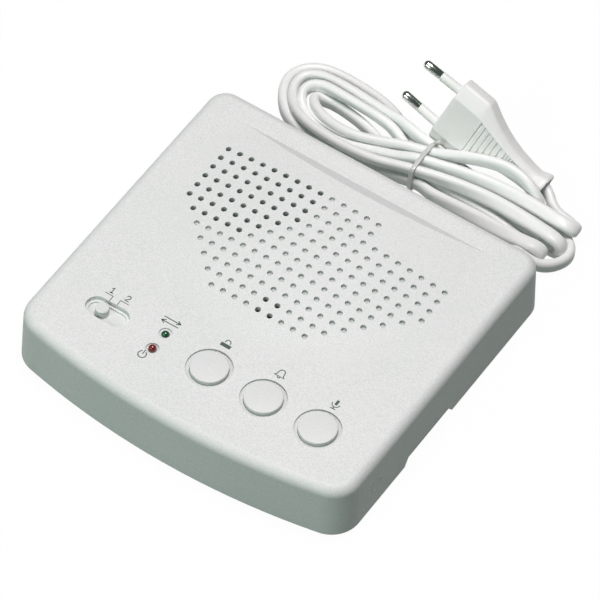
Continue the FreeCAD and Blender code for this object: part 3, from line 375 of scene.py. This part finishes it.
dress(gloss("green_lens", shade(28, 98, 58), 0.1, 0.5, 500.0), "green_lens", "in_use_lamp")
dress(gloss("red_lens", shade(140, 26, 30), 0.1, 0.5, 500.0), "red_lens", "power_lamp")


# Switches behind the buttons and the slider: black moulded bodies on the board, with white moulded plungers
# under the buttons and a white lever at the slider.
dress(moulded("switch_black", shade(30, 30, 31), 0.4), "switch_black",
      "lock_switch_body", "call_switch_body", "talk_switch_body", "channel_switch_body")
dress(moulded("switch_plunger_white", shade(226, 226, 220), 0.35), "switch_plunger_white",
      "lock_switch_plunger", "call_switch_plunger", "talk_switch_plunger", "channel_switch_lever")

# Loudspeaker and microphone: a pressed steel frame with a paper cone and a ferrite magnet, clamped under the
# cover by screws, and a dull grey metal capsule in a rubber boot that sits in a ring under the cover.
dress(moulded("speaker_steel", shade(52, 53, 54), 0.4, 900.0, 0.1), "speaker_steel", "speaker_frame")
dress(moulded("speaker_paper", shade(44, 43, 42), 0.9, 700.0, 0.5, (0.6, 0.6, 0.6)), "speaker_paper",
      "speaker_cone")
dress(moulded("ferrite", shade(52, 51, 50), 0.6, 500.0, 0.3), "ferrite", "speaker_magnet", "line_coupling_coil")
dress(metal("capsule_aluminium", shade(88, 89, 90), 0.55), "capsule_aluminium", "microphone_capsule")
dress(moulded("boot_rubber", shade(30, 30, 30), 0.75), "boot_rubber", "microphone_boot")

# Board and its parts: an L-shaped laminate board on four posts. Small electronic parts stand on it, and on its
# mains side the transformer, the fuse in its clips and the terminal block, all joined by insulated wires.
dress(moulded("board_laminate", shade(176, 148, 98), 0.5, 1200.0, 0.1), "board_laminate", "main_board")
dress(moulded("chip_epoxy", shade(34, 34, 35), 0.55), "chip_epoxy", "integrated_circuits")
dress(gloss("capacitor_sleeve", shade(34, 44, 88)), "capacitor_sleeve",
      "electrolytic_capacitors", "smoothing_capacitor")
dress(metal("coil_can", shade(196, 196, 190), 0.4), "coil_can", "tuning_coils")
dress(gloss("resistor_lacquer", shade(196, 168, 122), 0.3, 0.8), "resistor_lacquer", "resistors")
dress(gloss("film_epoxy", shade(176, 60, 34), 0.2, 0.7), "film_epoxy", "film_capacitors")
dress(gloss("diode_epoxy", shade(36, 36, 36), 0.3, 0.8), "diode_epoxy", "rectifier_diodes")
dress(moulded("core_steel", shade(92, 90, 88), 0.5, 600.0, 0.3), "core_steel", "transformer_core")
dress(gloss("winding_tape", shade(214, 178, 66), 0.3, 0.8), "winding_tape", "transformer_winding")
dress(gloss("fuse_glass", shade(206, 214, 214), 0.1, 0.9), "fuse_glass", "mains_fuse")
dress(metal("clip_brass", shade(206, 186, 130), 0.3), "clip_brass", "fuse_clips")
dress(moulded("line_case", shade(214, 206, 176), 0.45), "line_case", "line_capacitor")
dress(moulded("terminal_plastic", shade(96, 140, 104), 0.45), "terminal_plastic", "mains_terminal_block")
dress(gloss("wire_insulation", shade(142, 62, 52), 0.4, 0.8), "wire_insulation",
      "inner_mains_wires", "speaker_wires", "microphone_wires")


# Mains lead: flat two-core white PVC cord, 6.2 by 3.9 mm, folded in four loops behind the case. Each row is a
# point of its route in mm and the lean of its wide side from upright, in degrees towards the rear.
cord_white = moulded("cord_pvc", shade(249, 251, 249), 0.34, 500.0, 0.04, (0.955, 0.975, 0.965), 0.5)
cord_width = 6.2 * MM
cord_thickness = 3.9 * MM
route = [
    (57.6, 79.5, 10.4, 0), (57.6, 83.3, 10.4, 0), (59.4, 85.6, 8.8, 0), (63.4, 86.2, 6.9, 0),
    (68.6, 87.4, 5.0, 0), (72.4, 90.5, 4.1, 0), (75.2, 94.9, 3.8, 0), (76.0, 99.6, 3.5, 0),
    (74.0, 104.0, 3.1, 0), (70.0, 106.7, 3.1, 0),
    (62.6, 107.6, 3.2, 0), (50.2, 107.8, 3.2, 0), (36.3, 107.2, 3.3, 0), (20.1, 107.4, 3.6, 0),
    (3.1, 106.2, 4.4, 0), (-7.1, 112.0, 3.3, 0), (-17.1, 118.9, 3.2, 0),
    (-26.8, 122.7, 3.5, 0), (-38.0, 124.3, 3.4, 0), (-49.3, 124.8, 3.3, 0), (-58.4, 123.6, 3.3, 0),
    (-64.6, 119.5, 3.3, 0), (-67.6, 113.2, 3.3, 0), (-66.5, 106.1, 3.4, 0), (-62.7, 99.7, 3.5, 0),
    (-57.3, 94.5, 3.2, 0), (-47.9, 91.1, 3.0, 0),
    (-32.3, 90.1, 3.3, 0), (-14.2, 91.2, 3.4, 0), (5.6, 95.6, 4.4, 0), (13.0, 93.6, 4.3, 5),
    (22.6, 93.6, 4.7, 15), (32.6, 93.2, 5.7, 30), (42.6, 92.2, 6.9, 45), (53.2, 91.4, 8.5, 65),
    (58.9, 91.3, 9.2, 85), (63.0, 91.7, 9.6, 90), (66.2, 92.2, 8.4, 90), (67.2, 92.9, 6.0, 90),
    (65.8, 93.6, 3.0, 90), (61.9, 93.8, 2.1, 90),
    (55.9, 94.9, 2.7, 80), (44.1, 97.4, 3.1, 40), (32.3, 99.3, 3.0, 10), (2.2, 98.6, 4.2, 0),
    (-14.4, 103.6, 2.9, 0), (-28.1, 108.6, 3.4, 0), (-40.6, 110.8, 3.2, 0), (-47.8, 110.6, 3.3, 0),
    (-52.0, 107.6, 5.3, 0), (-50.0, 103.5, 7.8, 0), (-44.8, 99.7, 9.1, -10), (-37.8, 97.3, 9.8, -20),
    (-29.3, 96.9, 10.2, -25), (-22.7, 98.1, 10.0, -25), (-15.2, 100.8, 10.2, -25),
    (-6.2, 104.1, 10.9, -20),
    (3.8, 106.9, 10.6, -20), (12.0, 109.4, 12.1, -15), (19.9, 111.5, 14.1, -8), (27.9, 113.9, 14.9, 0),
    (34.5, 115.3, 14.9, 5), (40.2, 115.7, 14.2, 5), (45.1, 115.1, 13.2, 0), (49.4, 113.8, 11.1, 0),
    (52.1, 113.3, 8.2, 0), (53.0, 112.9, 5.6, 0), (50.8, 112.3, 3.4, 0), (45.7, 111.5, 3.3, 0),
    (35.4, 111.4, 3.0, 0), (21.5, 111.1, 4.0, 0), (10.5, 111.6, 6.0, 0), (1.9, 111.7, 8.7, 0),
    (-7.2, 112.7, 9.7, 0), (-14.6, 114.7, 9.8, -10), (-25.6, 115.8, 8.8, -15), (-36.5, 117.4, 8.0, -15),
    (-47.3, 118.3, 7.0, -10),
    (-55.7, 118.3, 6.0, 0), (-61.6, 115.7, 4.9, 0), (-63.0, 110.7, 4.4, 0), (-61.5, 104.9, 4.6, 0),
    (-57.4, 99.1, 6.0, 0), (-51.6, 94.7, 8.0, -10), (-44.2, 91.8, 9.3, -20), (-36.1, 90.6, 9.7, -20),
    (-25.6, 90.2, 9.6, -20), (-13.4, 91.3, 9.7, -20), (-6.1, 93.4, 9.9, -20),
    (0.7, 95.2, 10.4, -18), (10.3, 97.7, 10.2, -8), (18.6, 99.4, 10.0, 5), (27.5, 100.6, 9.9, 20),
    (36.4, 101.3, 9.9, 35), (46.3, 101.1, 10.0, 50), (57.0, 100.3, 10.2, 70), (61.9, 99.8, 10.4, 82),
    (67.4, 99.2, 10.6, 88), (71.3, 99.1, 9.2, 90), (72.4, 99.0, 6.3, 90), (71.2, 99.2, 3.0, 90),
    (67.4, 99.4, 1.9, 90),
    (60.5, 100.4, 2.2, 85), (46.0, 102.5, 2.9, 40), (32.2, 103.5, 3.4, 5), (1.3, 102.4, 3.9, 0),
    (-8.3, 107.9, 5.3, 0), (-16.0, 110.7, 8.3, -5), (-23.9, 111.3, 9.4, -15), (-32.8, 111.9, 9.5, -20),
    (-43.5, 112.4, 9.3, -15),
    (-50.5, 112.4, 9.0, 0), (-55.4, 110.2, 8.5, 0), (-57.2, 106.8, 7.2, 0), (-56.2, 103.7, 5.8, 0),
    (-53.6, 100.9, 4.2, 0), (-49.0, 97.7, 3.9, 0), (-42.5, 95.4, 4.3, 0), (-32.8, 94.3, 5.0, 0),
    (-24.1, 94.7, 6.1, 0), (-12.9, 97.1, 7.8, 0), (-5.1, 99.1, 9.2, -5),
    (1.0, 101.0, 11.2, -18), (8.2, 103.1, 10.4, -8), (14.2, 104.6, 10.2, 5), (23.3, 106.7, 10.0, 15),
    (31.3, 108.0, 9.9, 25), (40.7, 108.6, 9.9, 35), (50.7, 108.6, 10.0, 45), (60.7, 107.9, 10.2, 65),
    (66.7, 107.5, 10.5, 78), (70.6, 107.9, 9.5, 85), (72.4, 109.4, 7.5, 85), (71.0, 111.4, 5.1, 70),
    (67.0, 113.1, 4.3, 40), (61.3, 114.3, 4.4, 10), (57.3, 116.2, 5.1, 0), (53.8, 119.5, 5.9, 0),
    (50.0, 121.4, 7.5, 0), (45.2, 121.9, 8.8, 0),
]


def spline_points(rows):
    """The points of the NURBS spline with these control points, as Blender works them out."""
    data = bpy.data.curves.new("route", "CURVE")
    data.dimensions = "3D"
    data.resolution_u = 8
    spline = data.splines.new("NURBS")
    spline.points.add(len(rows) - 1)
    for point, row in zip(spline.points, rows):
        point.co = (*row, 1.0)
    spline.order_u = 3
    spline.use_endpoint_u = True
    made = bpy.data.objects.new("route", data)
    bpy.context.scene.collection.objects.link(made)
    mesh = bpy.data.meshes.new_from_object(made)
    points = [v.co.copy() for v in mesh.vertices]
    bpy.data.objects.remove(made)
    bpy.data.meshes.remove(mesh)
    return points


def ring_faces(rows, around, first=0):
    """Four-sided faces between rows of points, each row closed on itself and joined to the next."""
    faces = []
    for i in range(rows - 1):
        for k in range(around):
            a, b = first + i * around + k, first + i * around + (k + 1) % around
            faces.append((a, b, b + around, a + around))
    return faces


def flat_tube(name, path, sides, material, width, thickness, around=9):
    """A closed tube of flat section, its wide side along the side vectors."""
    spread = (width - thickness) / 2.0
    radius = thickness / 2.0
    outline = []
    for half in (1, -1):
        for k in range(around):
            angle = math.pi * k / (around - 1)
            outline.append((half * (spread + radius * math.sin(angle)), half * radius * math.cos(angle)))
    verts = []
    count = len(outline)
    for i, point in enumerate(path):
        ahead = (path[min(i + 1, len(path) - 1)] - path[max(i - 1, 0)]).normalized()
        wide = (sides[i] - ahead * sides[i].dot(ahead)).normalized()
        thin = ahead.cross(wide)
        verts += [point + wide * w + thin * t for w, t in outline]
    faces = ring_faces(len(path), count)
    faces.append(tuple(range(count))[::-1])
    faces.append(tuple((len(path) - 1) * count + k for k in range(count)))
    return mesh_piece(name, verts, faces, material)


cord_path = spline_points([(x * MM, y * MM, z * MM) for x, y, z, lean in route])
cord_sides = spline_points([(0.0, math.sin(math.radians(lean)), math.cos(math.radians(lean)))
                            for x, y, z, lean in route])
cord = flat_tube("mains_lead", cord_path, cord_sides, cord_white, cord_width, cord_thickness)
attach(cord, "case")
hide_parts("mains_cord", "cord_hank", "plug_lead")
dress(cord_white, "cord_pvc", "cord_strain_relief")

# Plug: flat two-pin mains plug, one PVC moulding over the pins. Its grip is waisted, with grooves on the wide
# sides, then a slotted bend guard that opens into a flared rim where the lead comes out.
plug_turn = Euler((math.radians(-63.8), math.radians(-15.6), math.radians(176.6)), "XYZ")
plug_place = Matrix.Translation((1.9 * MM, 123.8 * MM, 21.4 * MM)) @ plug_turn.to_matrix().to_4x4()
plug_white = moulded("plug_pvc", shade(248, 249, 246), 0.42, 1400.0, 0.12, (0.95, 0.965, 0.955), 0.45)
# each row: distance behind the face, half width, half of the flat middle, half thickness, half edge, all in mm
plug_stations = [(0.0, 14.6, 8.6, 6.2, 2.7), (0.7, 15.2, 9.0, 6.6, 3.0), (12.8, 15.2, 9.0, 6.6, 3.0),
                 (13.8, 14.9, 8.8, 6.55, 3.0), (20.0, 11.2, 7.2, 6.3, 3.0), (24.0, 9.2, 6.2, 6.1, 2.9),
                 (29.0, 7.3, 5.1, 5.8, 2.8), (34.0, 6.1, 4.2, 5.4, 2.7), (40.0, 5.3, 3.4, 5.0, 2.7),
                 (44.5, 5.0, 3.0, 4.8, 2.6), (46.3, 5.2, 3.0, 5.1, 2.8), (48.3, 6.0, 3.2, 5.9, 3.1),
                 (49.8, 6.5, 3.3, 6.2, 3.3), (50.6, 6.3, 3.1, 6.0, 3.1)]


def plug_at(back):
    """The measures of the plug's section at a distance behind its face."""
    for low, high in zip(plug_stations, plug_stations[1:]):
        if back <= high[0]:
            share = (back - low[0]) / (high[0] - low[0])
            return [a + (b - a) * share for a, b in zip(low[1:], high[1:])]
    return list(plug_stations[-1][1:])


def plug_outline(half_width, flat_width, half_thickness, edge_thickness, sunk=0.0):
    """Eight-sided section with softened corners. The middle of both wide sides is sunk for a groove or a slot."""
    half = [(half_width, edge_thickness, 1.3), (flat_width, half_thickness, 0.8),
            (flat_width - 0.45, half_thickness, 0.1), (flat_width - 0.65, half_thickness - sunk, 0.1)]
    half += [(-x, y, soft) for x, y, soft in half[::-1]]
    corners = half + [(-x, -y, soft) for x, y, soft in half]
    points = []
    for k, corner in enumerate(corners):
        here = Vector(corner[:2])
        before = Vector(corners[k - 1][:2]) - here
        after = Vector(corners[(k + 1) % len(corners)][:2]) - here
        start = here + before.normalized() * min(corner[2], before.length * 0.45)
        end = here + after.normalized() * min(corner[2], after.length * 0.45)
        for t in (0.0, 0.25, 0.5, 0.75, 1.0):
            points.append(start * (1 - t) ** 2 + here * (2 * t * (1 - t)) + end * t ** 2)
    return points


plug_length = 50.6
cut_depth = 0.7
groove = ((0.0, 0.0), (0.1, cut_depth), (0.95, cut_depth), (1.05, 0.0), (1.8, 0.0))
slot = ((0.0, 0.0), (0.08, cut_depth), (0.6, cut_depth), (0.68, 0.0))
stations = [(back, 0.0) for back in (0.0, 0.2, 0.7, 2.0, 6.0, 10.0, 12.6, 13.4, 14.0, 14.6, 41.0, 44.5, 46.3,
                                     47.3, 48.3, 49.2, 49.8, 50.4, plug_length)]
for first_cut, pitch, cuts, profile in ((15.2, 2.45, 6, groove), (30.2, 1.3, 8, slot)):
    for k in range(cuts):
        stations += [(first_cut + pitch * k + step, sunk) for step, sunk in profile]
rings = [(back, plug_outline(*plug_at(back), sunk)) for back, sunk in sorted(stations)]
# the flared rim folds in to the hole that the lead comes out of
for back, shrink in ((plug_length, 0.74), (48.6, 0.68), (47.8, 0.0)):
    rings.append((back, [p * shrink for p in plug_outline(*plug_at(plug_length))]))
rings.insert(0, (0.0, [p * 0.0 for p in rings[0][1]]))
# the guard bends down, more and more towards its rim
sag_start, sag_depth, sag_power = 14.0, 1.4, 1.2
verts = []
for back, outline in rings:
    sag = sag_depth * (max(0.0, back - sag_start) / (plug_length - sag_start)) ** sag_power
    verts += [plug_place @ Vector((-back * MM, (p.x + sag) * MM, p.y * MM)) for p in outline]
faces = ring_faces(len(rings), len(rings[0][1]))
plug = mesh_piece("mains_plug", verts, faces, plug_white)
welded = bmesh.new()
welded.from_mesh(plug.data)
bmesh.ops.remove_doubles(welded, verts=welded.verts, dist=1e-6)
bmesh.ops.recalc_face_normals(welded, faces=welded.faces)
welded.to_mesh(plug.data)
welded.free()
for face in plug.data.polygons:
    face.use_smooth = True
plug.data.set_sharp_from_angle(angle=math.radians(38))
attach(plug, "case")
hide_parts("plug_body")

# Pin sleeves: white insulating collars over the root half of each pin, one PVC moulding with the plug. The
# pins lean together a little, so a sleeve follows the line from the pin's root to its tip.
pin_root, pin_tip = (-0.5, 9.3), (19.0, 8.75)


def on_pins(name, rows, material):
    """A turned shape on both pins: each row is a distance along the pin and the radius there, in mm."""
    verts, faces = [], []
    around = 28
    for side in (-1, 1):
        root = Vector((pin_root[0], side * pin_root[1], 0.0))
        tip = Vector((pin_tip[0], side * pin_tip[1], 0.0))
        way = (tip - root).normalized()
        across = way.cross(Vector((0, 0, 1))).normalized()
        over = way.cross(across)
        first = len(verts)
        for along, radius in rows:
            for k in range(around):
                turn_angle = 2 * math.pi * k / around
                spot = root + way * along + (across * math.cos(turn_angle) + over * math.sin(turn_angle)) * radius
                verts.append(plug_place @ (spot * MM))
        faces += ring_faces(len(rows), around, first)
    return mesh_piece(name, verts, faces, material)


sleeves = on_pins("pin_sleeves", [(0.0, 2.55), (0.9, 2.5), (1.3, 2.05), (10.0, 2.0), (10.35, 1.9), (10.4, 1.3)],
                  plug_white)
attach(sleeves, "case")

# Pins: two turned brass rods, nickel plated and polished, with domed tips. Their roots are held in the plug's
# moulding.
pin_metal, shader, start = new_finish("pin_brass", Metallic=1.0)
streak = start.noise(260.0, 2.0)
(streak * 0.5).mix(shade(232, 232, 228), shade(212, 212, 206)).into(shader, "Base Color")
(streak * 0.04 + 0.15).into(shader, "Roughness")
start.node("Bump", None, {"Strength": 0.01, "Distance": 0.00002, "Height": streak}).into(shader, "Normal")
pin_radius = 2.0
pin_reach = (Vector(pin_tip) - Vector(pin_root)).length
dome = [math.pi / 2.0 * k / 9 for k in range(10)]
pins = on_pins("mains_pins", [(10.2, 0.0), (10.2, 1.7), (10.5, pin_radius)]
               + [(pin_reach - pin_radius + pin_radius * math.sin(a), pin_radius * math.cos(a)) for a in dome],
               pin_metal)
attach(pins, "case")
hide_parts("plug_pins")

# Tie: a narrow wire covered in plastic, bent round the hank, with its two ends wound together on top of it. Its
# band follows the outline of the strands where it lies.
tie_material = gloss("tie_plastic", shade(216, 219, 214), 0.32, 0.9, 700.0)
tie_x = 4 * MM
tie_width = 2.0 * MM
near = sorted({(round(v.co.y, 5), round(v.co.z, 5)) for v in cord.data.vertices
               if abs(v.co.x - tie_x) < 1.6 * MM})


def chain(points):
    """Half of the convex outline of sorted points."""
    out = []
    for p in points:
        while len(out) > 1 and ((out[-1][0] - out[-2][0]) * (p[1] - out[-2][1])
                                - (out[-1][1] - out[-2][1]) * (p[0] - out[-2][0])) <= 0:
            out.pop()
        out.append(p)
    return out[:-1]


wrap = [Vector(p) for p in chain(near) + chain(near[::-1])]
middle = sum(wrap, Vector((0, 0))) / len(wrap)
for smoothing in range(3):
    wrap = [q for a, b in zip(wrap, wrap[1:] + wrap[:1]) for q in (a * 0.75 + b * 0.25, a * 0.25 + b * 0.75)]
wrap = [p + (p - middle).normalized() * 0.55 * MM for p in wrap]
start_at = max(range(len(wrap)), key=lambda k: wrap[k].x * 0.6 + wrap[k].y)
wrap = wrap[start_at:] + wrap[:start_at + 1]
tie_path = [Vector((tie_x, p.x, max(p.y, 0.35 * MM))) for p in wrap]
tie = flat_tube("hank_tie", tie_path, [Vector((1, 0, 0))] * len(tie_path), tie_material, tie_width, 0.6 * MM, 5)
twist_steps = 30
twist_length = 3.5 * MM
twist_turn = 0.8
knot, upward = tie_path[0], Vector((0.55, 0.12, 0.42)).normalized()
twist_path = [knot + upward * (twist_length * k / twist_steps) + Vector((0, 0, 0.4 * MM))
              for k in range(twist_steps + 1)]
twist_sides = [Vector((0, math.cos(k * twist_turn), math.sin(k * twist_turn))) for k in range(twist_steps + 1)]
twist = flat_tube("tie_twist", twist_path, twist_sides, tie_material, tie_width, 0.7 * MM, 5)
for piece in (tie, twist):
    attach(piece, "case")
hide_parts("cord_tie")
